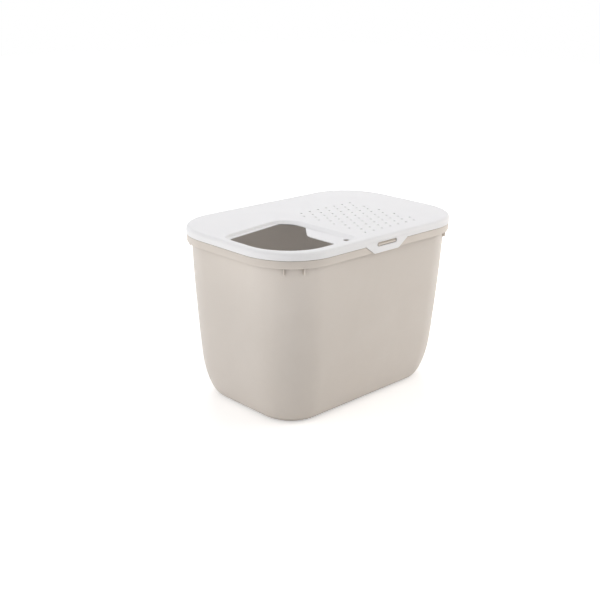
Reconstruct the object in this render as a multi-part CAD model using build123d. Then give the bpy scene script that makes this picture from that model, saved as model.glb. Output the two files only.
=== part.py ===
from build123d import *
import math
import os

# Top entry litter box: a deep tapered bin with a rolled rim, and a clip-down lid with a recessed entry
# opening, a ledge, a perforated field and a flexing clip on each long side.
# Millimetres. X runs along the long side, Y along the short side, Z up from the floor. The origin is
# at the middle of the footprint. "Inset" is the distance inwards from the outside of the lid's skirt.

# Overall size
length = 585.0
width = 390.0
height = 395.0

# Lid shell
lid_wall = 2.5
lid_corner_radius = 122.0
shoulder_radius = 8.0
shoulder_inner_chamfer = 3.2
skirt_height = 16.0
skirt_edge_chamfer = 0.6

# Entry recess: a shallow pan in the lid, whose far side runs at a slight angle
entry_end_border = 17.5
entry_side_border = 23.0
recess_length = 214.0
recess_width_at_end = 192.0
recess_width_at_middle = 225.0
recess_depth = 6.0
recess_wall_run = 3.0
ledge_slope_run = 12.0
recess_inner_radius = 48.0
recess_tip_radius = 28.0
recess_ledge_radius = 22.0
recess_lip_depth = 1.2
recess_lip_run = 0.6

# Entry opening through the floor of the recess
opening_margin = 9.5
ledge_length = 58.0
ledge_width = 88.0
ledge_angle = 48.0
opening_inner_radius = 40.0
opening_ledge_radius = 30.0
opening_tip_radius = 20.0
opening_front_radius = 14.0

# Round hanging hole in the ledge
hanging_hole_diameter = 14.0
hanging_hole_from_middle = 19.5
hanging_hole_from_side = 20.0

# Perforated field, in staggered rows
grille_hole_diameter = 6.4
grille_hole_sides = 8
grille_pitch = 26.8
grille_row_pitch = 23.0
grille_from_recess = 40.0
grille_from_side = 45.0
grille_length = 175.0
grille_width = 208.0

# Bin shell
tub_wall = 2.2
floor_thickness = 2.8
neck_inset = 12.0
base_inset_end = 41.5
base_inset_side = 31.3
base_corner_radius = 97.0
side_bulge = 2.2
heel_height = 97.0
heel_inset = 29.8

# Rolled rim of the bin, under the lid and just below its skirt
rim_wall = 2.2
rim_play = 0.5
rim_shoulder_play = 0.4
band_inset = 1.4
band_height = 16.0
band_gap = 0.9
band_edge_chamfer = 0.6

# Ribs under the rim, two at each corner
rib_thickness = 2.5
rib_drop = 15.0
rib_tip_inset = 6.5
rib_middle_angle = 52.0
rib_spread_angle = 21.0

# Corner feet
foot_height = 2.5
foot_width = 13.0
foot_margin = 1.5
foot_reach_end = 71.0
foot_reach_side = 80.0

# Clips of the lid, and the pocket and catch lug of the bin that each one closes over
clip_length = 132.0
clip_tip_length = 76.0
clip_drop = 19.0
clip_root_height = 6.0
clip_thickness = 2.2
clip_gap = 0.1
clip_tip_radius = 7.0
clip_corner_radius = 0.3
clip_edge_chamfer = 0.5
slot_length = 62.0
slot_height = 9.0
slot_above_tip = 14.0
pocket_gap = 1.2
lug_play_length = 3.0
lug_play_height = 1.5
lug_inset = 0.6
lug_tip_thickness = 3.0

# Heights that follow from the sizes above
skirt_low = height - skirt_height
rim_top = height - lid_wall
band_top = skirt_low - band_gap
band_low = band_top - band_height
rib_low = band_low - rib_drop
recess_floor = height - recess_depth
clip_low = skirt_low - clip_drop
clip_root = skirt_low + clip_root_height
slot_middle = clip_low + slot_above_tip + slot_height / 2
rim_inset = lid_wall + rim_play

heel_steps = 6
shoulder_steps = 3
overshoot = 5.0


def block(inset, low, high):
    """A rounded block at an even inset from the outside of the lid."""
    face = RectangleRounded(length - 2 * inset, width - 2 * inset, lid_corner_radius - inset)
    return extrude(Plane.XY.offset(low) * face, amount=high - low)


def shoulder(radius):
    """The lid's rounded shoulder: a stack of short slopes from the skirt up to the flat top."""
    sections = []
    for step in range(shoulder_steps + 1):
        turn = math.radians(90 * step / shoulder_steps)
        inset = radius * (1 - math.cos(turn))
        face = RectangleRounded(length - 2 * inset, width - 2 * inset, lid_corner_radius - inset)
        sections.append(Plane.XY.offset(height - radius * (1 - math.sin(turn))) * face)
    return loft(sections, ruled=True)


def outline(points, radii, level):
    """A closed face at a level, through the points, with its corners rounded."""
    edge = FilletPolyline(*points, radius=radii, close=True)
    return Plane.XY.offset(level) * make_face(edge)


def front_plate(face, inner_inset, outer_inset):
    """A face drawn on the front long side, as a plate between two insets."""
    plane = Plane.XZ.offset(width / 2 - inner_inset)
    return extrude(plane * face, amount=inner_inset - outer_inset)


def both_sides(part):
    """A part of the front long side and its twin on the rear one."""
    return [part, mirror(part, about=Plane.XZ)]


# --- Bin -------------------------------------------------------------------------------------------

def tub_section(level, inset):
    """The bin's outline at a level, drawn in by an inset."""
    rise = (level - foot_height) / (band_low - foot_height)
    bulge = 4 * side_bulge * rise * (1 - rise)
    end = base_inset_end + (neck_inset - base_inset_end) * rise - bulge
    side = base_inset_side + (neck_inset - base_inset_side) * rise - bulge
    neck_corner_radius = lid_corner_radius - neck_inset
    radius = base_corner_radius + (neck_corner_radius - base_corner_radius) * rise - inset
    face = RectangleRounded(length - 2 * (end + inset), width - 2 * (side + inset), radius)
    return Plane.XY.offset(level) * face


def tub_solid(wall, floor):
    """The bin's solid form below the rim, moved in by a wall and up by a floor."""
    low = foot_height + floor
    curve_height = heel_height - floor
    sections = []
    for step in range(heel_steps + 1):
        turn = math.radians(90 * (1 - step / heel_steps))
        level = low + curve_height * (1 - math.sin(turn))
        sections.append(tub_section(level, wall + (heel_inset - wall) * (1 - math.cos(turn))))
    heel_top = low + curve_height
    for level in ((heel_top + rib_low) / 2, rib_low, band_low):
        sections.append(tub_section(level, wall))
    return loft(sections, ruled=True)


def rim():
    """The rolled rim: a flange under the lid, a step, and a band below the skirt."""
    upper = block(rim_inset, band_top - rim_wall, rim_top)
    top_edges = upper.faces().sort_by(Axis.Z)[-1].edges()
    upper = chamfer(top_edges, shoulder_inner_chamfer + rim_shoulder_play)
    band = block(band_inset, band_low, band_top)
    band = chamfer(band.edges().group_by(Axis.Z)[-1] + band.edges().group_by(Axis.Z)[0], band_edge_chamfer)
    for pocket in both_sides(front_plate(pocket_face(), rim_inset, -overshoot)):
        band -= pocket
    channel = block(band_inset + rim_wall, band_low - overshoot, band_top - rim_wall)
    for backing in both_sides(front_plate(backing_face(), rim_inset + rim_wall, band_inset)):
        channel -= backing
    channel += block(rim_inset + rim_wall, band_low - overshoot, rim_top - rim_wall)
    return upper + band - channel


def ribs():
    """The ribs that stiffen the rim at the corner towards -X and -Y, and their three mirror images."""
    reach = lid_corner_radius
    center = (-length / 2 + reach, -width / 2 + reach, 0)
    hidden_top = rim_top - rim_wall / 2
    profile = Polyline(
        (reach - neck_inset - tub_wall / 2, rib_low),
        (reach - rib_tip_inset, rib_low),
        (reach - band_inset - rim_wall - tub_wall / 2, band_low + band_edge_chamfer),
        (reach - rim_inset - rim_wall, band_top),
        (reach - rim_inset - rim_wall, hidden_top),
        (reach - neck_inset - tub_wall / 2, hidden_top),
        close=True,
    )
    parts = []
    for side in (-1, 1):
        turn = math.radians(180 + rib_middle_angle + side * rib_spread_angle / 2)
        out = (math.cos(turn), math.sin(turn), 0)
        across = (math.sin(turn), -math.cos(turn), 0)
        plane = Plane(origin=center, x_dir=out, z_dir=across)
        parts.append(extrude(plane * make_face(profile), amount=rib_thickness / 2, both=True))
    parts += [mirror(part, about=Plane.YZ) for part in parts]
    parts += [mirror(part, about=Plane.XZ) for part in parts]
    return parts


def feet():
    """Low corner feet that follow the edge of the flat base."""
    base = tub_section(foot_height, heel_inset)
    outer = offset(base, amount=-foot_margin)
    inner = offset(base, amount=-foot_margin - foot_width)
    ring = extrude(Plane.XY * (outer - inner).moved(Location((0, 0, -foot_height))),
                   amount=foot_height + floor_thickness / 2)
    base_half_length = length / 2 - base_inset_end - heel_inset
    base_half_width = width / 2 - base_inset_side - heel_inset
    long_gap = 2 * (base_half_length - foot_reach_side)
    short_gap = 2 * (base_half_width - foot_reach_end)
    depth = 2 * height
    ring -= Box(long_gap, width, depth)
    ring -= Box(length, short_gap, depth)
    return ring


def pocket_face():
    """The gap in the rim band that a clip lies in: the clip's shape, a little larger."""
    half_top = clip_length / 2 + pocket_gap
    half_tip = clip_tip_length / 2 + pocket_gap
    return make_face(Polyline(
        (-half_tip, clip_low - overshoot), (-half_tip, clip_low), (-half_top, skirt_low),
        (half_top, skirt_low), (half_tip, clip_low), (half_tip, clip_low - overshoot), close=True))


def backing_face():
    """The wall that closes the rim band behind the pocket."""
    half = clip_length / 2 + pocket_gap + rim_wall
    return make_face(Polyline(
        (-half, band_low), (half, band_low), (half, band_top), (-half, band_top), close=True))


def catch_lug():
    """The lug that a clip's slot closes over, flat below and sloped above."""
    lug_length = slot_length - 2 * lug_play_length
    low = slot_middle - slot_height / 2 + lug_play_height
    high = slot_middle + slot_height / 2 - lug_play_height
    root = -(width / 2 - rim_inset - rim_wall / 2)
    tip = -(width / 2 - lug_inset)
    profile = Polyline((root, low), (tip, low), (tip, low + lug_tip_thickness), (root, high), close=True)
    return extrude(Plane.YZ * make_face(profile), amount=lug_length / 2, both=True)


def make_bin():
    outside = tub_solid(0, 0) + block(neck_inset, band_low, rim_top)
    inside = tub_solid(tub_wall, floor_thickness)
    inside += block(neck_inset + tub_wall, band_low, rim_top + overshoot)
    part = rim() + outside
    for rib in ribs():
        part += rib
    for lug in both_sides(catch_lug()):
        part += lug
    part += feet()
    return part - inside


# --- Lid -------------------------------------------------------------------------------------------

recess_end = -length / 2 + entry_end_border
recess_side = -width / 2 + entry_side_border
recess_middle = recess_end + recess_length
far_slope = (recess_width_at_middle - recess_width_at_end) / recess_length


def far_line(x):
    """The Y of the recess's far side at an X."""
    return recess_side + recess_width_at_end + far_slope * (x - recess_end)


def recess_outline(level, side, middle):
    """The recess drawn in by an inset at its outer sides, and by another one towards the middle."""
    left, right = recess_end + side, recess_middle - middle
    points = [(left, recess_side + side), (right, recess_side + side),
              (right, far_line(right) - side), (left, far_line(left) - side)]
    radii = [lid_corner_radius - (entry_end_border + entry_side_border) / 2 - side,
             recess_ledge_radius - side, recess_inner_radius - side, recess_tip_radius - side]
    return outline(points, radii, level)


def opening_outline(level):
    """The entry opening: a rounded four-sided hole with a ledge left in one corner."""
    left, front = recess_end + opening_margin, recess_side + opening_margin
    ledge_x = recess_middle - ledge_length
    ledge_y = front + ledge_width
    ledge_slope = math.tan(math.radians(ledge_angle))
    far_at_ledge = far_line(ledge_x) - opening_margin
    run = (far_at_ledge - ledge_y) / (ledge_slope - far_slope)
    peak = (ledge_x + run, ledge_y + ledge_slope * run)
    points = [(left, front), (ledge_x, front), (ledge_x, ledge_y), peak,
              (left, far_line(left) - opening_margin)]
    radii = [lid_corner_radius - (entry_end_border + entry_side_border) / 2 - opening_margin,
             opening_front_radius, opening_ledge_radius, opening_inner_radius, opening_tip_radius]
    return outline(points, radii, level)


def recess_section(depth, grow):
    """The recess's outline at a depth, grown outwards and downwards by a wall."""
    side = recess_wall_run * depth / recess_depth - grow
    middle = ledge_slope_run * depth / recess_depth - grow
    return recess_outline(height - grow - depth, side, middle)


def recess_pan(grow):
    """The recess as a solid: sloped sides down to a flat floor, grown by a wall."""
    return loft([recess_section(recess_depth, grow), recess_section(0, grow)], ruled=True)


def recess_cutter():
    """The recess as it is cut into the lid, with a chamfered lip."""
    mouth = recess_outline(height, -recess_lip_run, -recess_lip_run)
    return loft([recess_section(recess_depth, 0), recess_section(recess_lip_depth, 0), mouth], ruled=True)


def grille():
    """The perforations, as one solid per hole."""
    first_x = recess_middle + grille_from_recess
    first_y = -width / 2 + grille_from_side
    columns = round(grille_length / grille_pitch)
    rows = round(grille_width / grille_row_pitch) + 1
    spots = []
    for row in range(rows):
        stagger = grille_pitch / 2 * (row % 2)
        for column in range(columns):
            spots.append((first_x + stagger + column * grille_pitch, first_y + row * grille_row_pitch))
    hole = RegularPolygon(grille_hole_diameter / 2, grille_hole_sides)
    holes = Sketch() + [Pos(x, y) * hole for x, y in spots]
    return extrude(Plane.XY.offset(rim_top - overshoot) * holes, amount=lid_wall + 2 * overshoot)


def make_lid():
    skirt = block(0, skirt_low, height - shoulder_radius)
    skirt = chamfer(skirt.faces().sort_by(Axis.Z)[0].edges(), skirt_edge_chamfer)
    shell = skirt + shoulder(shoulder_radius)
    hollow = block(lid_wall, skirt_low - overshoot, height - lid_wall)
    hollow = chamfer(hollow.faces().sort_by(Axis.Z)[-1].edges(), shoulder_inner_chamfer)
    part = shell - (hollow - recess_pan(lid_wall)) - recess_cutter()
    opening = opening_outline(recess_floor - lid_wall - overshoot)
    part -= extrude(opening, amount=recess_depth + 2 * overshoot)
    hole_x = recess_middle - hanging_hole_from_middle
    hole_y = recess_side + hanging_hole_from_side
    hole = Cylinder(hanging_hole_diameter / 2, 2 * (lid_wall + overshoot))
    part -= Pos(hole_x, hole_y, recess_floor) * hole
    part -= grille()
    for window in both_sides(front_plate(window_face(), lid_wall + overshoot, -overshoot)):
        part -= window
    return part


def window_face():
    """The gap in the skirt that a clip's root fills."""
    half = clip_length / 2 + clip_gap
    return make_face(Polyline(
        (-half, skirt_low - overshoot), (half, skirt_low - overshoot),
        (half, clip_root + clip_gap), (-half, clip_root + clip_gap), close=True))


def make_clip():
    """The front clip: a tapered tab with a long slot."""
    half = clip_length / 2
    half_tip = clip_tip_length / 2
    tip = clip_tip_radius
    corner = clip_corner_radius
    edge = FilletPolyline(
        (-half_tip, clip_low), (half_tip, clip_low), (half, skirt_low), (half, clip_root),
        (-half, clip_root), (-half, skirt_low),
        radius=[tip, tip, corner, corner, corner, corner], close=True)
    slot = Pos(0, slot_middle) * SlotOverall(slot_length, slot_height)
    clip = front_plate(make_face(edge) - slot, clip_thickness, 0)
    outer_face = clip.faces().sort_by(Axis.Y)[0]
    return chamfer(outer_face.inner_wires()[0].edges(), clip_edge_chamfer)


os.makedirs("parts", exist_ok=True)
export_step(make_bin(), "parts/bin.step")
export_step(make_lid(), "parts/lid.step")
front_clip, rear_clip = both_sides(make_clip())
export_step(front_clip, "parts/front_clip.step")
export_step(rear_clip, "parts/rear_clip.step")
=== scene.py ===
import math

import bmesh
import bpy
from mathutils import Matrix, Vector


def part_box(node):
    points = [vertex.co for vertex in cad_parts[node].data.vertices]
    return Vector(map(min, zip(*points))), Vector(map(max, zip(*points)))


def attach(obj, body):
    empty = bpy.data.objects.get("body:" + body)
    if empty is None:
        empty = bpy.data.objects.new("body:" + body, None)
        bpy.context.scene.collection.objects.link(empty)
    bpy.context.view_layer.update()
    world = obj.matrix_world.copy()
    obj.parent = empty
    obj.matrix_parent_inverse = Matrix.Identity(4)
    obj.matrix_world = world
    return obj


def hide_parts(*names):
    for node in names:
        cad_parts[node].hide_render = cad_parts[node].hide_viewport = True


# Top entry litter box: a warm beige bin with a rolled rim, and a white lid with an entry opening, a
# perforated field and a flexing clip on each long side.
# Sizes and places are in millimetres and become metres where they are drawn. "Inset" is the distance
# inwards from the outside of the lid's skirt. X runs along the long side, and the front faces -Y.

MM = 0.001

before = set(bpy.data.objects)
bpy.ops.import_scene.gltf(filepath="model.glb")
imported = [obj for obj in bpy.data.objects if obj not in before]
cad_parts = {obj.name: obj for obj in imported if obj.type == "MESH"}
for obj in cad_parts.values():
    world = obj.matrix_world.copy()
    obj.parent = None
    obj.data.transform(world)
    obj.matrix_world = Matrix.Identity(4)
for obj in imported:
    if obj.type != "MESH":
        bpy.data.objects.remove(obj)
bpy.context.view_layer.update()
lid_low, lid_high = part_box("lid")
bin_low, bin_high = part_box("bin")
clip_near, clip_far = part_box("front_clip")

# Overall sizes, from the frame
length = (lid_high.x - lid_low.x) / MM
width = (lid_high.y - lid_low.y) / MM
height = lid_high.z / MM
rim_top = bin_high.z / MM
skirt_low = lid_low.z / MM

# Lid shell
lid_wall = height - rim_top
lid_corner_radius = 122
shoulder_radius = 8
skirt_edge_radius = 0.8

# Entry recess and its opening
entry_end_border = 17.5
entry_side_border = 23
recess_length = 214
recess_width_at_end = 192
recess_width_at_middle = 225
recess_depth = 6
recess_wall_run = 3
ledge_slope_run = 12
recess_inner_radius = 48
recess_tip_radius = 28
recess_ledge_radius = 22
recess_edge_radius = 2.2
ledge_edge_radius = 8
opening_margin = 9.5
ledge_length = 58
ledge_width = 88
ledge_angle = 48
opening_inner_radius = 40
opening_ledge_radius = 30
opening_tip_radius = 20
opening_front_radius = 14
opening_edge_radius = 1

# Hanging hole and perforations
hanging_hole_diameter = 14
hanging_hole_from_middle = 19.5
hanging_hole_from_side = 20
perforation_diameter = 6.4
perforation_edge_radius = 0.5
perforation_pitch = 26.8
perforation_row_pitch = 23
perforations_from_recess = 40
perforations_from_side = 45
perforation_columns = 7
perforation_rows = 10

# Bin
tub_wall = 2.2
floor_thickness = 2.8
neck_inset = 12
base_inset_end = 41.5
base_inset_side = 31.3
base_corner_radius = 97
side_bulge = 2.2
heel_height = 97
heel_inset = 29.8

# Rolled rim and its ribs
rim_wall = 2.2
rim_inset = 3
rim_shoulder_radius = 6.1
rim_root_radius = 1.5
rim_edge_radius = 0.8
band_inset = 1.4
band_top = skirt_low - 0.9
band_low = band_top - 16
rib_thickness = 2.5
rib_drop = 15
rib_tip_inset = 6.5
rib_middle_angle = 52
rib_spread_angle = 21
rib_edge_radius = 0.4

# Feet
foot_height = 2.5
foot_width = 13
foot_margin = 1.5
foot_reach_end = 71
foot_reach_side = 80
foot_edge_radius = 0.8

# Clips and catches
clip_length = (clip_far.x - clip_near.x) / MM
clip_low = clip_near.z / MM
clip_root = clip_far.z / MM
clip_tip_length = 76
clip_thickness = 2.2
clip_tip_radius = 7
clip_edge_radius = 0.6
clip_gap = 0.1
slot_length = 62
slot_height = 9
slot_above_tip = 14
slot_end_fullness = 0.98
slot_middle = clip_low + slot_above_tip + slot_height / 2
pocket_gap = 1.2
lug_play_length = 3
lug_play_height = 1.5
lug_inset = 0.6
lug_tip_thickness = 3
lug_edge_radius = 0.4

# Fineness of the meshes
corner_steps = 28
shoulder_steps = 9
edge_steps = 3
profile_steps = 5
heel_steps = 16
wall_steps = 8
opening_steps = 16
perforation_steps = 24
sharp_angle = 32

# How far a cutting tool reaches past what it cuts
beyond = 5


# --- Drawing -------------------------------------------------------------------------------------------

def start_piece(name):
    """A new, empty piece, open in edit mode."""
    bpy.ops.object.select_all(action="DESELECT")
    bpy.ops.mesh.primitive_plane_add(size=MM)
    piece = bpy.context.object
    piece.name = name
    piece.data.name = name
    bpy.ops.object.mode_set(mode="EDIT")
    bpy.ops.mesh.select_all(action="SELECT")
    bpy.ops.mesh.delete(type="VERT")
    return piece


def close_piece():
    """Merges the seams, turns the faces outwards and leaves edit mode."""
    bpy.ops.mesh.select_all(action="SELECT")
    bpy.ops.mesh.remove_doubles(threshold=MM / 100)
    bpy.ops.mesh.normals_make_consistent(inside=False)
    bpy.ops.object.mode_set(mode="OBJECT")


def select_where(test):
    """Selects the vertices whose place passes a test, and the edges and faces between them."""
    bpy.ops.mesh.select_mode(type="VERT")
    bpy.ops.mesh.select_all(action="DESELECT")
    mesh = bmesh.from_edit_mesh(bpy.context.edit_object.data)
    for vertex in mesh.verts:
        vertex.select = test(vertex.co / MM)
    mesh.select_flush(True)
    bmesh.update_edit_mesh(bpy.context.edit_object.data)


def select_level(level, axis=2):
    """Selects what lies in a plane square to an axis."""
    select_where(lambda place: abs(place[axis] - level) < MM)


def draw_line(points):
    """Draws a run of edges through points, and leaves its last point selected."""
    bpy.ops.mesh.select_all(action="DESELECT")
    bpy.ops.mesh.primitive_plane_add(size=MM, location=Vector(points[0]) * MM)
    bpy.ops.mesh.merge(type="CENTER")
    for here, there in zip(points, points[1:]):
        step = (Vector(there) - Vector(here)) * MM
        bpy.ops.mesh.extrude_vertices_move(TRANSFORM_OT_translate={"value": step})


def draw_outline(points, radii, steps):
    """Draws a closed outline through flat points, with its corners rounded."""
    corners = [Vector(point) for point in points]
    draw_line(corners + corners[:1])
    select_where(lambda place: min((place - corner).length for corner in corners) < MM)
    bpy.ops.mesh.remove_doubles(threshold=MM / 100)
    bpy.ops.mesh.edge_face_add()
    for index, radius in enumerate(radii):
        corner = corners[index]
        to_last = corners[index - 1] - corner
        to_next = corners[(index + 1) % len(corners)] - corner
        cut = radius / math.tan(to_last.angle(to_next) / 2)
        select_where(lambda place: (place - corner).length < MM)
        bpy.ops.mesh.bevel(affect="VERTICES", offset=cut * MM, segments=steps)
    bpy.ops.mesh.select_all(action="SELECT")


def stack(outlines, steps, axis=2):
    """Draws outlines one above another along an axis, and joins each to the next with a wall."""
    for points, radii in outlines:
        draw_outline(points, radii, steps)
        select_level(points[0][axis], axis)
        bpy.ops.mesh.delete(type="ONLY_FACE")
    levels = [points[0][axis] for points, radii in outlines]
    for below, above in zip(levels, levels[1:]):
        select_where(lambda place: min(abs(place[axis] - below), abs(place[axis] - above)) < MM)
        bpy.ops.mesh.bridge_edge_loops()


def spin_round(profile, centre, steps):
    """Spins a profile of (radius, level) points once round an upright line."""
    x, y = centre
    draw_line([(x + radius, y, level) for radius, level in profile])
    bpy.ops.mesh.select_all(action="SELECT")
    bpy.ops.mesh.spin(steps=steps, angle=2 * math.pi, center=Vector((x, y, 0)) * MM, axis=(0, 0, 1))


def sweep_round(profile):
    """Sweeps a profile of (inset, level) points once round the box, along its sides and corners."""
    x = length / 2 - lid_corner_radius
    y = width / 2 - lid_corner_radius
    draw_line([(-x, inset - width / 2, level) for inset, level in profile])
    bpy.ops.mesh.select_all(action="SELECT")
    for run, corner in (((2 * x, 0, 0), (x, -y, 0)), ((0, 2 * y, 0), (x, y, 0)),
                        ((-2 * x, 0, 0), (-x, y, 0)), ((0, -2 * y, 0), (-x, -y, 0))):
        bpy.ops.mesh.extrude_region_move(TRANSFORM_OT_translate={"value": Vector(run) * MM})
        bpy.ops.mesh.spin(steps=corner_steps, angle=math.pi / 2, center=Vector(corner) * MM, axis=(0, 0, -1))


def rounded(points, radii, steps):
    """A flat run of points with its inner corners rounded."""
    run = [Vector(points[0])]
    for before, corner, after, radius in zip(points, points[1:], points[2:], radii):
        corner = Vector(corner)
        to_before = (Vector(before) - corner).normalized()
        to_after = (Vector(after) - corner).normalized()
        half = to_before.angle(to_after) / 2
        centre = corner + (to_before + to_after).normalized() * radius / math.sin(half)
        first = corner + to_before * radius / math.tan(half) - centre
        last = corner + to_after * radius / math.tan(half) - centre
        turn = math.pi - 2 * half
        for step in range(steps + 1):
            back = math.sin((1 - step / steps) * turn) / math.sin(turn)
            on = math.sin(step / steps * turn) / math.sin(turn)
            run.append(centre + first * back + last * on)
    run.append(Vector(points[-1]))
    return run


def fill_level(level, axis=2):
    """Fills the flat area between the outlines that lie in a plane."""
    select_level(level, axis)
    bpy.ops.mesh.fill(use_beauty=True)


def join(pieces):
    """Joins pieces into the first one and opens it in edit mode."""
    bpy.ops.object.select_all(action="DESELECT")
    for piece in pieces:
        piece.select_set(True)
    bpy.context.view_layer.objects.active = pieces[0]
    bpy.ops.object.join()
    bpy.ops.object.mode_set(mode="EDIT")
    bpy.ops.mesh.select_all(action="SELECT")
    bpy.ops.mesh.remove_doubles(threshold=MM / 100)


def combine(piece, tool, operation):
    """Adds a tool's solid to a piece, or takes it away, and removes the tool."""
    modifier = piece.modifiers.new("combine", "BOOLEAN")
    modifier.operation = operation
    modifier.solver = "EXACT"
    modifier.object = tool
    bpy.ops.object.select_all(action="DESELECT")
    piece.select_set(True)
    bpy.context.view_layer.objects.active = piece
    bpy.ops.object.modifier_apply(modifier=modifier.name)
    bpy.data.objects.remove(tool)


def smooth(piece):
    """Shades a piece smooth, with its flat faces kept flat and its sharp edges kept sharp."""
    bpy.ops.object.select_all(action="DESELECT")
    piece.select_set(True)
    bpy.context.view_layer.objects.active = piece
    bpy.ops.object.shade_smooth_by_angle(angle=math.radians(sharp_angle))
    modifier = piece.modifiers.new("even normals", "WEIGHTED_NORMAL")
    modifier.keep_sharp = True
    bpy.ops.object.modifier_apply(modifier=modifier.name)


def draw_plate(name, points, run, edge=0):
    """A plate: a flat face through points, extruded along a run, with its edges rounded."""
    plate = start_piece(name)
    draw_outline(points, [], 1)
    bpy.ops.mesh.extrude_region_move(TRANSFORM_OT_translate={"value": Vector(run) * MM})
    bpy.ops.mesh.select_all(action="SELECT")
    if edge:
        bpy.ops.mesh.bevel(affect="EDGES", offset=edge * MM, segments=edge_steps)
    close_piece()
    return plate


def edge_profile(low, high, edge):
    """How far a cut edge flares at each level of a wall, rounded at both of its faces."""
    turns = [math.radians(90 * step / edge_steps) for step in range(edge_steps + 1)]
    upper = [(edge * (1 - math.sin(turn)), high - edge * (1 - math.cos(turn))) for turn in turns]
    lower = [(edge * (1 - math.sin(turn)), low + edge * (1 - math.cos(turn))) for turn in reversed(turns)]
    return upper + lower


# --- Bin -----------------------------------------------------------------------------------------------

def tub_outline(level, inset):
    """The bin's outline at a level, drawn in by an inset."""
    rise = (level - foot_height) / (band_low - foot_height)
    bulge = 4 * side_bulge * rise * (1 - rise)
    x = length / 2 - inset - (base_inset_end + (neck_inset - base_inset_end) * rise - bulge)
    y = width / 2 - inset - (base_inset_side + (neck_inset - base_inset_side) * rise - bulge)
    neck_corner_radius = lid_corner_radius - neck_inset
    radius = base_corner_radius + (neck_corner_radius - base_corner_radius) * rise - inset
    return [(-x, -y, level), (x, -y, level), (x, y, level), (-x, y, level)], [radius] * 4


def draw_tub_side(name, wall, low):
    """One side of the tub's wall: a rounded heel, and a tapered and slightly bulging wall."""
    side = start_piece(name)
    high = foot_height + heel_height
    outlines = []
    for step in range(heel_steps + 1):
        turn = math.radians(90 * (1 - step / heel_steps))
        level = low + (high - low) * (1 - math.sin(turn))
        outlines.append(tub_outline(level, wall + (heel_inset - wall) * (1 - math.cos(turn))))
    for step in range(1, wall_steps + 1):
        outlines.append(tub_outline(high + (band_low - high) * step / wall_steps, wall))
    stack(outlines, corner_steps)
    select_level(low)
    bpy.ops.mesh.edge_face_add()
    bpy.ops.object.mode_set(mode="OBJECT")
    return side


def draw_rim():
    """The rolled rim, from the outside of the neck over the band and the flange to its inside."""
    rim = start_piece("rim")
    channel_inset = band_inset + rim_wall
    flange_inset = rim_inset + rim_wall
    inner_radius = rim_shoulder_radius - rim_wall
    edge = rim_edge_radius
    points = [(neck_inset, band_low), (neck_inset, rim_top - rim_wall), (flange_inset, rim_top - rim_wall),
              (flange_inset, band_top - rim_wall), (channel_inset, band_top - rim_wall),
              (channel_inset, band_low), (band_inset, band_low), (band_inset, band_top),
              (rim_inset, band_top), (rim_inset, rim_top), (neck_inset + tub_wall, rim_top),
              (neck_inset + tub_wall, band_low)]
    radii = [rim_root_radius, inner_radius, edge, edge, edge, edge, edge, edge / 2, rim_shoulder_radius, edge]
    sweep_round(rounded(points, radii, profile_steps))
    bpy.ops.object.mode_set(mode="OBJECT")
    return rim


def draw_rib(mirror_x, mirror_y, spread):
    """One rib under the rim, from the tub's wall to the underside of the flange, at a corner."""
    reach = lid_corner_radius
    centre = Vector((-length / 2 + reach, -width / 2 + reach, 0))
    turn = math.radians(180 + rib_middle_angle + spread * rib_spread_angle / 2)
    out = Vector((math.cos(turn), math.sin(turn), 0))
    across = Vector((-out.y, out.x, 0))
    hidden_top = rim_top - rim_wall / 2
    root = reach - neck_inset - tub_wall / 2
    flange = reach - rim_inset - rim_wall
    profile = [(root, band_low - rib_drop), (reach - rib_tip_inset, band_low - rib_drop),
               (reach - band_inset - rim_wall - tub_wall / 2, band_low + rim_edge_radius),
               (flange, band_top), (flange, hidden_top), (root, hidden_top)]
    flip = Vector((mirror_x, mirror_y, 1))
    corners = [centre + out * distance - across * rib_thickness / 2 for distance, level in profile]
    points = [(corner + Vector((0, 0, level))) * flip for corner, (distance, level) in zip(corners, profile)]
    return draw_plate("rib", points, across * rib_thickness * flip, rib_edge_radius)


def draw_feet():
    """Four low corner feet that follow the edge of the flat base."""
    walls = []
    hidden_top = foot_height + floor_thickness / 2
    for inset, edge in ((foot_margin, foot_edge_radius), (foot_margin + foot_width, -foot_edge_radius)):
        wall = start_piece("foot_wall")
        outlines = []
        for step in range(edge_steps + 1):
            turn = math.radians(90 * step / edge_steps)
            drawn_in = heel_inset + inset + edge * (1 - math.sin(turn))
            level = foot_edge_radius * (1 - math.cos(turn))
            outlines.append((drawn_in, level))
        outlines.append((heel_inset + inset, hidden_top))
        base_outlines = []
        for drawn_in, level in outlines:
            points, radii = tub_outline(foot_height, drawn_in)
            base_outlines.append(([(x, y, level) for x, y, z in points], radii))
        stack(base_outlines, corner_steps)
        bpy.ops.object.mode_set(mode="OBJECT")
        walls.append(wall)
    join(walls)
    fill_level(0)
    fill_level(hidden_top)
    close_piece()
    feet = walls[0]
    gap_x = length / 2 - base_inset_end - heel_inset - foot_reach_side
    gap_y = width / 2 - base_inset_side - heel_inset - foot_reach_end
    for x, y in ((gap_x, width), (length, gap_y)):
        points = [(-x, -y, -beyond), (x, -y, -beyond), (x, y, -beyond), (-x, y, -beyond)]
        combine(feet, draw_plate("gap", points, (0, 0, 4 * beyond)), "DIFFERENCE")
    return feet


def draw_front_plate(name, outline, inner_inset, outer_inset, side):
    """A plate on a long side, with its (x, level) outline, between two insets."""
    y = side * (width / 2 - inner_inset)
    points = [(x, y, level) for x, level in outline]
    return draw_plate(name, points, (0, side * (inner_inset - outer_inset), 0))


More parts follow.
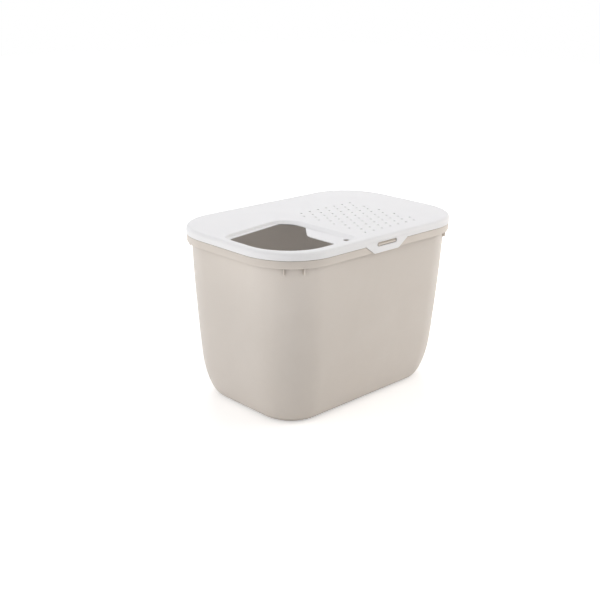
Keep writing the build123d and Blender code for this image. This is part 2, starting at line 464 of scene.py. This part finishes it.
def add_backing(tub, side):
    """The wall behind a clip's pocket."""
    half = clip_length / 2 + pocket_gap + rim_wall
    low, high = band_low + rim_edge_radius, band_top - rim_wall / 2
    outline = [(-half, low), (half, low), (half, high), (-half, high)]
    wall = draw_front_plate("backing", outline, rim_inset + rim_wall, band_inset + rim_wall / 2, side)
    combine(tub, wall, "UNION")


def cut_pocket(tub, side):
    """The pocket in the rim's band that a clip lies in, with its tapered outline."""
    half_top = clip_length / 2 + pocket_gap
    half_tip = clip_tip_length / 2 + pocket_gap
    outline = [(-half_tip, clip_low - beyond), (-half_tip, clip_low), (-half_top, skirt_low),
               (half_top, skirt_low), (half_tip, clip_low), (half_tip, clip_low - beyond)]
    combine(tub, draw_front_plate("pocket", outline, rim_inset, -beyond, side), "DIFFERENCE")


def add_lug(tub, side):
    """The sloped catch lug in a pocket, which stands in the clip's slot with some play."""
    low = slot_middle - slot_height / 2 + lug_play_height
    high = slot_middle + slot_height / 2 - lug_play_height
    half = slot_length / 2 - lug_play_length
    root, tip = side * (width / 2 - rim_inset - rim_wall / 2), side * (width / 2 - lug_inset)
    tip_high = low + lug_tip_thickness
    points = [(-half, root, low), (-half, tip, low), (-half, tip, tip_high), (-half, root, high)]
    combine(tub, draw_plate("lug", points, (2 * half, 0, 0), lug_edge_radius), "UNION")


def draw_bin():
    """The whole bin: tub, rolled rim, ribs, pockets with their catch lugs, and feet."""
    outside = draw_tub_side("tub_outside", 0, foot_height)
    inside = draw_tub_side("tub_inside", tub_wall, foot_height + floor_thickness)
    tub = draw_rim()
    join([tub, outside, inside])
    close_piece()
    for side in (-1, 1):
        add_backing(tub, side)
        cut_pocket(tub, side)
        add_lug(tub, side)
    for mirror_x in (-1, 1):
        for mirror_y in (-1, 1):
            for spread in (-1, 1):
                combine(tub, draw_rib(mirror_x, mirror_y, spread), "UNION")
    combine(tub, draw_feet(), "UNION")
    tub.name = "bin_shell"
    smooth(tub)
    return tub


# --- Lid -----------------------------------------------------------------------------------------------

recess_end = -length / 2 + entry_end_border
recess_side = -width / 2 + entry_side_border
recess_middle = recess_end + recess_length
recess_floor = height - recess_depth
far_slope = (recess_width_at_middle - recess_width_at_end) / recess_length


def far_line(x):
    """The Y of the recess's far side at an X."""
    return recess_side + recess_width_at_end + far_slope * (x - recess_end)


def recess_outline(level, side, middle):
    """The recess drawn in by an inset at its outer sides, and by another one towards the middle."""
    left, right = recess_end + side, recess_middle - middle
    points = [(left, recess_side + side, level), (right, recess_side + side, level),
              (right, far_line(right) - side, level), (left, far_line(left) - side, level)]
    radii = [lid_corner_radius - (entry_end_border + entry_side_border) / 2 - side,
             recess_ledge_radius - side, recess_inner_radius - side, recess_tip_radius - side]
    return points, radii


def inset_at(profile, level):
    """The inset of a wall's profile at a level."""
    for (inset, high), (next_inset, low) in zip(profile, profile[1:]):
        if low <= level <= high:
            return inset + (next_inset - inset) * (high - level) / (high - low)


def recess_wall(run, edge, foot):
    """The (inset, level) profile of a wall of the recess, from the lid's top to its floor."""
    flat_run = 3 * recess_depth
    points = [(-flat_run, height), (0, height), (run, recess_floor), (run + flat_run, recess_floor)]
    return rounded(points, [edge, foot], profile_steps)[1:-1]


def draw_recess():
    """The recess's sloped wall, steep at the outer sides and shallow beside the ledge."""
    recess = start_piece("recess")
    steep = recess_wall(recess_wall_run, recess_edge_radius, recess_edge_radius)
    shallow = recess_wall(ledge_slope_run, ledge_edge_radius, ledge_edge_radius)
    shallow[0].y, shallow[-1].y = steep[0].y, steep[-1].y
    stack([recess_outline(level, inset, inset_at(shallow, level)) for inset, level in steep], opening_steps)
    bpy.ops.object.mode_set(mode="OBJECT")
    return recess


def draw_recess_underside():
    """The same wall seen from below, one wall thickness further out."""
    underside = start_piece("recess_underside")
    stack([recess_outline(height - lid_wall, -lid_wall, -lid_wall),
           recess_outline(recess_floor - lid_wall, recess_wall_run - lid_wall, ledge_slope_run - lid_wall)],
          opening_steps)
    bpy.ops.object.mode_set(mode="OBJECT")
    return underside


def opening_outline(level, flare):
    """The entry opening: a rounded four-sided hole with a ledge left in one corner."""
    margin = opening_margin - flare
    turn = math.radians(ledge_angle)
    left, front = recess_end + margin, recess_side + margin
    ledge_x = recess_middle - ledge_length + flare
    ledge_y = recess_side + opening_margin + ledge_width - flare * (1 - math.sin(turn)) / math.cos(turn)
    run = (far_line(ledge_x) - margin - ledge_y) / (math.tan(turn) - far_slope)
    points = [(left, front, level), (ledge_x, front, level), (ledge_x, ledge_y, level),
              (ledge_x + run, ledge_y + math.tan(turn) * run, level), (left, far_line(left) - margin, level)]
    radii = [lid_corner_radius - (entry_end_border + entry_side_border) / 2 - margin,
             opening_front_radius + flare, opening_ledge_radius - flare,
             opening_inner_radius + flare, opening_tip_radius + flare]
    return points, radii


def draw_opening():
    """The rounded edge of the entry opening."""
    opening = start_piece("opening")
    profile = edge_profile(recess_floor - lid_wall, recess_floor, opening_edge_radius)
    stack([opening_outline(level, flare) for flare, level in profile], opening_steps)
    bpy.ops.object.mode_set(mode="OBJECT")
    return opening


def draw_hole(name, centre, diameter, low, high, edge, steps):
    """A round hole through a wall, with its edges rounded."""
    hole = start_piece(name)
    profile = [(diameter / 2 + flare, level) for flare, level in edge_profile(low, high, edge)]
    spin_round(profile, centre, steps)
    bpy.ops.mesh.select_all(action="SELECT")
    bpy.ops.mesh.remove_doubles(threshold=MM / 100)
    return hole


def draw_perforations():
    """The perforated field, in staggered rows: one hole, copied to each place."""
    first = Vector((recess_middle + perforations_from_recess, -width / 2 + perforations_from_side, 0))
    field = draw_hole("perforations", first.xy, perforation_diameter, rim_top, height,
                      perforation_edge_radius, perforation_steps)
    bpy.ops.mesh.select_all(action="SELECT")
    for column in range(1, perforation_columns):
        bpy.ops.mesh.duplicate_move(TRANSFORM_OT_translate={"value": (perforation_pitch * MM, 0, 0)})
    for row in range(1, perforation_rows):
        bpy.ops.mesh.select_all(action="DESELECT")
        select_row(first.y + (row - 1) * perforation_row_pitch)
        stagger = perforation_pitch / 2 * (1 if row % 2 else -1)
        step = Vector((stagger, perforation_row_pitch, 0)) * MM
        bpy.ops.mesh.duplicate_move(TRANSFORM_OT_translate={"value": step})
    bpy.ops.object.mode_set(mode="OBJECT")
    return field


def select_row(y):
    """Selects one row of perforations."""
    select_where(lambda place: abs(place.y - y) < perforation_diameter)


def draw_skirt():
    """The lid's skirt and rounded shoulder, outside and inside."""
    skirt = start_piece("skirt")
    points = [(2 * shoulder_radius, height), (0, height), (0, skirt_low), (lid_wall, skirt_low),
              (lid_wall, rim_top), (2 * shoulder_radius, rim_top)]
    radii = [shoulder_radius, skirt_edge_radius, skirt_edge_radius, shoulder_radius - lid_wall]
    sweep_round(rounded(points, radii, shoulder_steps)[1:-1])
    bpy.ops.object.mode_set(mode="OBJECT")
    return skirt


def cut_clip_place(lid, side):
    """The place in the skirt that a clip fills, with a narrow gap round it."""
    half, top = clip_length / 2 + clip_gap, clip_root + clip_gap
    outline = [(-half, skirt_low - beyond), (half, skirt_low - beyond), (half, top), (-half, top)]
    combine(lid, draw_front_plate("clip_place", outline, lid_wall + beyond, -beyond, side), "DIFFERENCE")


def draw_lid():
    """The whole lid: its edges are joined, the flats between them filled, and the clips' places cut."""
    hole = draw_hole("hanging_hole",
                     (recess_middle - hanging_hole_from_middle, recess_side + hanging_hole_from_side),
                     hanging_hole_diameter, recess_floor - lid_wall, recess_floor,
                     opening_edge_radius, 2 * perforation_steps)
    bpy.ops.object.mode_set(mode="OBJECT")
    lid = draw_skirt()
    join([lid, draw_recess(), draw_recess_underside(), draw_opening(), hole, draw_perforations()])
    for level in (height, rim_top, recess_floor, recess_floor - lid_wall):
        fill_level(level)
    close_piece()
    for side in (-1, 1):
        cut_clip_place(lid, side)
    lid.name = "lid_shell"
    smooth(lid)
    return lid


# --- Clips ---------------------------------------------------------------------------------------------

def clip_outline(y, inset):
    """A clip's outline, drawn in at its free edges only."""
    half, half_tip = clip_length / 2, clip_tip_length / 2
    slant = math.atan2(skirt_low - clip_low, half - half_tip)
    tip = half_tip - inset * math.tan(slant / 2)
    low, corner = clip_low + inset, skirt_low + inset / math.cos(slant)
    points = [(-tip, y, low), (tip, y, low), (half, y, corner), (half, y, clip_root),
              (-half, y, clip_root), (-half, y, corner)]
    return points, [clip_tip_radius, clip_tip_radius, 0, 0, 0, 0]


def slot_outline(y, flare):
    """The outline of a clip's slot, with round ends."""
    x, half_height = slot_length / 2 + flare, slot_height / 2 + flare
    low, high = slot_middle - half_height, slot_middle + half_height
    points = [(-x, y, low), (x, y, low), (x, y, high), (-x, y, high)]
    return points, [slot_end_fullness * half_height] * 4


def draw_clip(side):
    """A tapered tab with a long slot, flush with the skirt where it leaves it."""
    inner, outer = side * (width / 2 - clip_thickness), side * width / 2
    body = start_piece("clip")
    profile = edge_profile(width / 2 - clip_thickness, width / 2, clip_edge_radius)
    stack([clip_outline(side * y, inset) for inset, y in profile], shoulder_steps, axis=1)
    bpy.ops.object.mode_set(mode="OBJECT")
    slot = start_piece("slot")
    stack([slot_outline(side * y, flare) for flare, y in profile], shoulder_steps, axis=1)
    bpy.ops.object.mode_set(mode="OBJECT")
    join([body, slot])
    fill_level(inner, axis=1)
    fill_level(outer, axis=1)
    close_piece()
    smooth(body)
    return body


# --- Finishes ------------------------------------------------------------------------------------------

# Both plastics: how light enters them, and the marks on them
plastic_ior = 1.47
translucency = 0.6
grain_strength = 0.35
pit_coarseness = 0.55
pit_share = 0.5
flow_scale = 9
flow_range = (0.3, 0.7)
flow_dulling = 0.04
rub_scale = 16
rub_range = (0.58, 0.74)
rub_polish = 0.08
rub_fading = 0.05
rubbed_colour = (0.95, 0.94, 0.92, 1)
streak_turn = (0.3, 0.5, 0.7)
streak_scale = (1, 14, 5)

# Painted shade: openness is 1 on an open surface and falls where others stand within the shade's reach, and
# there the colour is darkened towards dark brown to stand in for shade
painted_shade_reach = 14
painted_shade_samples = 6
painted_shade_from_openness = 0.92
painted_shade_full_openness = 0.25
painted_shade_colour = (0.16, 0.13, 0.10, 1)


def add_node(tree, kind, **values):
    """A shader node with its properties and its sockets' values set."""
    node = tree.nodes.new(kind)
    for name, value in values.items():
        if name in node.inputs:
            node.inputs[name].default_value = value
        else:
            setattr(node, name, value)
    return node


def link_all(tree, *links):
    """Links pairs of sockets."""
    for source, target in links:
        tree.links.new(source, target)


def ramp(tree, low, high, start=0):
    """A node that goes from a start to 1 while its value goes from low to high."""
    return add_node(tree, "ShaderNodeMapRange", **{"From Min": low, "From Max": high, "To Min": start})


def times(tree, factor):
    """A node that multiplies by a factor."""
    node = add_node(tree, "ShaderNodeMath", operation="MULTIPLY")
    node.inputs[1].default_value = factor
    return node


def mould_grain(tree, into):
    """The height of the grain that a steel mould leaves: fine noise over soft pits."""
    grain = add_node(tree, "ShaderNodeTexNoise", Detail=3.0, Roughness=0.6)
    pits = add_node(tree, "ShaderNodeTexVoronoi", feature="SMOOTH_F1", Smoothness=0.6)
    pit_scale = times(tree, pit_coarseness)
    both = add_node(tree, "ShaderNodeMath", operation="MULTIPLY_ADD")
    both.inputs[1].default_value = pit_share
    link_all(tree, (into.outputs["Vector"], grain.inputs["Vector"]),
             (into.outputs["Grain Scale"], grain.inputs["Scale"]),
             (into.outputs["Grain Scale"], pit_scale.inputs[0]),
             (into.outputs["Vector"], pits.inputs["Vector"]),
             (pit_scale.outputs[0], pits.inputs["Scale"]),
             (pits.outputs["Distance"], both.inputs[0]),
             (grain.outputs["Fac"], both.inputs[2]))
    return both.outputs[0]


def flow_marks(tree, into):
    """The soft marks where the plastic flowed, from 0 to 1."""
    flow = add_node(tree, "ShaderNodeTexNoise", Detail=4.0, Roughness=0.5, Distortion=0.8)
    tone = ramp(tree, *flow_range)
    link_all(tree, (into.outputs["Vector"], flow.inputs["Vector"]),
             (into.outputs["Flow Scale"], flow.inputs["Scale"]),
             (flow.outputs["Fac"], tone.inputs["Value"]))
    return tone.outputs["Result"]


def rub_marks(tree, into):
    """Where use has rubbed the surface, in slanting streaks."""
    streaks = add_node(tree, "ShaderNodeMapping", Rotation=streak_turn, Scale=streak_scale)
    rub = add_node(tree, "ShaderNodeTexNoise", Detail=5.0, Roughness=0.7, Distortion=0.4)
    rubbing = ramp(tree, *rub_range)
    link_all(tree, (into.outputs["Vector"], streaks.inputs["Vector"]),
             (streaks.outputs["Vector"], rub.inputs["Vector"]),
             (into.outputs["Rub Scale"], rub.inputs["Scale"]),
             (rub.outputs["Fac"], rubbing.inputs["Value"]))
    return rubbing.outputs["Result"]


def varied_roughness(tree, into, tone, rubbing):
    """The roughness, lower where the surface is rubbed and a little higher along the flow marks."""
    polish = add_node(tree, "ShaderNodeMath", operation="MULTIPLY")
    polished = add_node(tree, "ShaderNodeMath", operation="SUBTRACT")
    dulling = times(tree, flow_dulling)
    varied = add_node(tree, "ShaderNodeMath", operation="ADD")
    link_all(tree, (rubbing, polish.inputs[0]),
             (into.outputs["Roughness Change"], polish.inputs[1]),
             (into.outputs["Roughness"], polished.inputs[0]),
             (polish.outputs[0], polished.inputs[1]),
             (tone, dulling.inputs[0]),
             (polished.outputs[0], varied.inputs[0]),
             (dulling.outputs[0], varied.inputs[1]))
    return varied.outputs[0]


def painted_crevice_shade(tree):
    """Painted shade: how much to darken narrow places, such as gaps and the hollows beside ribs, where shade
    falls.
    """
    nearness = add_node(tree, "ShaderNodeAmbientOcclusion", Distance=painted_shade_reach * MM, samples=painted_shade_samples)
    shade_amount = ramp(tree, painted_shade_from_openness, painted_shade_full_openness)
    link_all(tree, (nearness.outputs["AO"], shade_amount.inputs["Value"]))
    return shade_amount.outputs["Result"]


def moulded_finish_group():
    """The finish of moulded plastic: mould grain, flow marks and light rubbing, and a painted shade mask for
    narrow places.
    """
    tree = bpy.data.node_groups.new("moulded finish", "ShaderNodeTree")
    sockets = tree.interface
    sockets.new_socket("Vector", in_out="INPUT", socket_type="NodeSocketVector")
    for name in ("Grain Scale", "Flow Scale", "Rub Scale", "Roughness", "Roughness Change"):
        sockets.new_socket(name, in_out="INPUT", socket_type="NodeSocketFloat")
    # The last output is the painted shade mask for narrow places.
    for name in ("Height", "Tone", "Rubbing", "Roughness", "Painted Shade"):
        sockets.new_socket(name, in_out="OUTPUT", socket_type="NodeSocketFloat")
    into = tree.nodes.new("NodeGroupInput")
    out = tree.nodes.new("NodeGroupOutput")
    tone = flow_marks(tree, into)
    rubbing = rub_marks(tree, into)
    link_all(tree, (mould_grain(tree, into), out.inputs["Height"]),
             (tone, out.inputs["Tone"]),
             (rubbing, out.inputs["Rubbing"]),
             (varied_roughness(tree, into, tone, rubbing), out.inputs["Roughness"]),
             (painted_crevice_shade(tree), out.inputs["Painted Shade"]))
    return tree


def tinted(tree, colour, tint, mask, amount):
    """A colour with a tint over it, as strong as a mask times an amount."""
    mixed = add_node(tree, "ShaderNodeMix", data_type="RGBA")
    mixed.inputs["B"].default_value = tint
    strength = times(tree, amount)
    link_all(tree, (colour, mixed.inputs["A"]),
             (mask, strength.inputs[0]),
             (strength.outputs[0], mixed.inputs["Factor"]))
    return mixed.outputs["Result"]


def moulded_plastic(name, group, light_colour, dark_colour, grain_scale, grain_depth, roughness, gloss,
                    light_depth, painted_shade):
    """A moulded plastic: its colour varies a little along the flow, under a fine grain, and is darkened in
    narrow places as painted shade.
    """
    material = bpy.data.materials.new(name)
    material.use_nodes = True
    tree = material.node_tree
    shader = tree.nodes["Principled BSDF"]
    shader.inputs["IOR"].default_value = plastic_ior
    shader.inputs["Specular IOR Level"].default_value = gloss
    shader.inputs["Subsurface Weight"].default_value = translucency
    shader.inputs["Subsurface Radius"].default_value = (1.0, 1.0, 1.0)
    shader.inputs["Subsurface Scale"].default_value = light_depth * MM
    place = add_node(tree, "ShaderNodeTexCoord")
    finish = add_node(tree, "ShaderNodeGroup", node_tree=group)
    finish.inputs["Grain Scale"].default_value = grain_scale
    finish.inputs["Flow Scale"].default_value = flow_scale
    finish.inputs["Rub Scale"].default_value = rub_scale
    finish.inputs["Roughness"].default_value = roughness
    finish.inputs["Roughness Change"].default_value = rub_polish
    colour = add_node(tree, "ShaderNodeMix", data_type="RGBA")
    colour.inputs["A"].default_value = dark_colour
    colour.inputs["B"].default_value = light_colour
    rubbed = tinted(tree, colour.outputs["Result"], rubbed_colour, finish.outputs["Rubbing"], rub_fading)
    # Painted shade: the colour is darkened where other surfaces stand near, in gaps and beside the ribs.
    shaded_colour = tinted(tree, rubbed, painted_shade_colour, finish.outputs["Painted Shade"], painted_shade)
    bump = add_node(tree, "ShaderNodeBump", Strength=grain_strength, Distance=grain_depth * MM)
    link_all(tree, (place.outputs["Object"], finish.inputs["Vector"]),
             (finish.outputs["Tone"], colour.inputs["Factor"]),
             (shaded_colour, shader.inputs["Base Color"]),
             (finish.outputs["Roughness"], shader.inputs["Roughness"]),
             (finish.outputs["Height"], bump.inputs["Height"]),
             (bump.outputs["Normal"], shader.inputs["Normal"]))
    return material


def finish_piece(piece, material, body, node):
    """Gives a piece its plastic and its place in the frame."""
    piece.data.materials.clear()
    piece.data.materials.append(material)
    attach(piece, body)
    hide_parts(node)


# --- Studio --------------------------------------------------------------------------------------------

camera_turn = -44.503
camera_rise = 18.929
camera_roll = 0.925
camera_distance = 2233.1
aim_across = -45.29
aim_up = 1.56
focal_pixels = 971.36
picture_pixels = 600
sensor_width = 36
surround_strength = 0.41
floor_size = 16000
floor_colour = (0.95, 0.95, 0.95, 1)
glow_starts = 450
glow_full = 2200
glow_near_box = 0.38


def place_camera():
    """The camera at the photograph's angle, with its distance and field of view."""
    turn, rise, roll = (math.radians(angle) for angle in (camera_turn, camera_rise, camera_roll))
    back = Vector((math.sin(turn) * math.cos(rise), -math.cos(turn) * math.cos(rise), math.sin(rise)))
    across = Vector((math.cos(turn), math.sin(turn), 0))
    up = back.cross(across)
    place = Vector((0, 0, height / 2)) + across * aim_across + up * aim_up + back * camera_distance
    rolled_across = across * math.cos(roll) + up * math.sin(roll)
    rolled_up = up * math.cos(roll) - across * math.sin(roll)
    camera = bpy.data.objects.new("camera", bpy.data.cameras.new("camera"))
    bpy.context.scene.collection.objects.link(camera)
    axes = Matrix((rolled_across, rolled_up, back)).transposed().to_4x4()
    camera.matrix_world = Matrix.Translation(place * MM) @ axes
    camera.data.sensor_width = sensor_width
    camera.data.lens = sensor_width * focal_pixels / picture_pixels
    bpy.context.scene.camera = camera


def seen_directly(tree):
    """1 where a surface is seen by the camera, or in a reflection or through a clear piece."""
    path = add_node(tree, "ShaderNodeLightPath")
    either = add_node(tree, "ShaderNodeMath", operation="MAXIMUM")
    seen = add_node(tree, "ShaderNodeMath", operation="MAXIMUM")
    link_all(tree, (path.outputs["Is Camera Ray"], either.inputs[0]),
             (path.outputs["Is Glossy Ray"], either.inputs[1]),
             (either.outputs[0], seen.inputs[0]),
             (path.outputs["Is Transmission Ray"], seen.inputs[1]))
    return seen.outputs[0]


def make_floor():
    """A plain pale floor, white where it is seen, which keeps the shadow near the box."""
    bpy.ops.object.select_all(action="DESELECT")
    bpy.ops.mesh.primitive_plane_add(size=floor_size * MM)
    floor = bpy.context.object
    floor.name = "studio_floor"
    material = bpy.data.materials.new("pale floor")
    material.use_nodes = True
    tree = material.node_tree
    tree.nodes.remove(tree.nodes["Principled BSDF"])
    paint = add_node(tree, "ShaderNodeBsdfDiffuse", Color=floor_colour)
    glow = add_node(tree, "ShaderNodeEmission", Color=(1, 1, 1, 1))
    place = add_node(tree, "ShaderNodeTexCoord")
    from_middle = add_node(tree, "ShaderNodeVectorMath", operation="LENGTH")
    growth = ramp(tree, glow_starts * MM, glow_full * MM, glow_near_box)
    seen_glow = add_node(tree, "ShaderNodeMath", operation="MULTIPLY")
    both = add_node(tree, "ShaderNodeAddShader")
    link_all(tree, (place.outputs["Object"], from_middle.inputs[0]),
             (from_middle.outputs["Value"], growth.inputs["Value"]),
             (seen_directly(tree), seen_glow.inputs[0]),
             (growth.outputs["Result"], seen_glow.inputs[1]),
             (seen_glow.outputs[0], glow.inputs["Strength"]),
             (paint.outputs["BSDF"], both.inputs[0]),
             (glow.outputs["Emission"], both.inputs[1]),
             (both.outputs["Shader"], tree.nodes["Material Output"].inputs["Surface"]))
    floor.data.materials.append(material)


def make_world():
    """An even pale surround, white where it is seen."""
    world = bpy.data.worlds.new("studio")
    bpy.context.scene.world = world
    world.use_nodes = True
    tree = world.node_tree
    sky = tree.nodes["Background"]
    sky.inputs["Color"].default_value = (1, 1, 1, 1)
    strength = ramp(tree, 0, 1, surround_strength)
    link_all(tree, (seen_directly(tree), strength.inputs["Value"]),
             (strength.outputs["Result"], sky.inputs["Strength"]))


def add_softbox(name, place, size, power, colour):
    """A large soft lamp at a place, aimed at the middle of the box."""
    lamp = bpy.data.lights.new(name, "AREA")
    lamp.shape = "RECTANGLE"
    lamp.size, lamp.size_y = size[0] * MM, size[1] * MM
    lamp.energy = power
    lamp.color = colour
    softbox = bpy.data.objects.new(name, lamp)
    bpy.context.scene.collection.objects.link(softbox)
    place = Vector(place) * MM
    target = Vector((0, 0, height / 2)) * MM
    softbox.location = place
    softbox.rotation_euler = (target - place).to_track_quat("-Z", "Y").to_euler()


# --- The box in its studio -----------------------------------------------------------------------------

bin_shell = draw_bin()
lid_shell = draw_lid()
front_clip = draw_clip(-1)
rear_clip = draw_clip(1)
front_clip.name = "front_clip_shell"
rear_clip.name = "rear_clip_shell"

moulded_finish = moulded_finish_group()
# The last value of each plastic sets how strongly its colour is darkened in narrow places as painted shade.
beige = moulded_plastic("beige plastic", moulded_finish,
                        light_colour=(0.76, 0.68, 0.61, 1), dark_colour=(0.74, 0.66, 0.59, 1),
                        grain_scale=1600, grain_depth=0.05, roughness=0.46, gloss=0.5,
                        light_depth=11, painted_shade=0.6)
white = moulded_plastic("white plastic", moulded_finish,
                        light_colour=(0.93, 0.92, 0.93, 1), dark_colour=(0.91, 0.90, 0.91, 1),
                        grain_scale=1900, grain_depth=0.04, roughness=0.55, gloss=0.3,
                        light_depth=2, painted_shade=0.15)
finish_piece(bin_shell, beige, "bin", "bin")
finish_piece(lid_shell, white, "lid", "lid")
finish_piece(front_clip, white, "front_clip", "front_clip")
finish_piece(rear_clip, white, "rear_clip", "rear_clip")

place_camera()
make_floor()
make_world()
add_softbox("left softbox", place=(-3130, 660, 1500), size=(4200, 2200), power=48, colour=(1, 1, 0.99))
add_softbox("right softbox", place=(2450, -2060, 1500), size=(3200, 2200), power=52,
            colour=(1, 0.965, 0.91))
add_softbox("back softbox", place=(1500, 1900, 2900), size=(2400, 2400), power=41, colour=(0.94, 0.95, 1))
bpy.context.scene.view_settings.view_transform = "Standard"
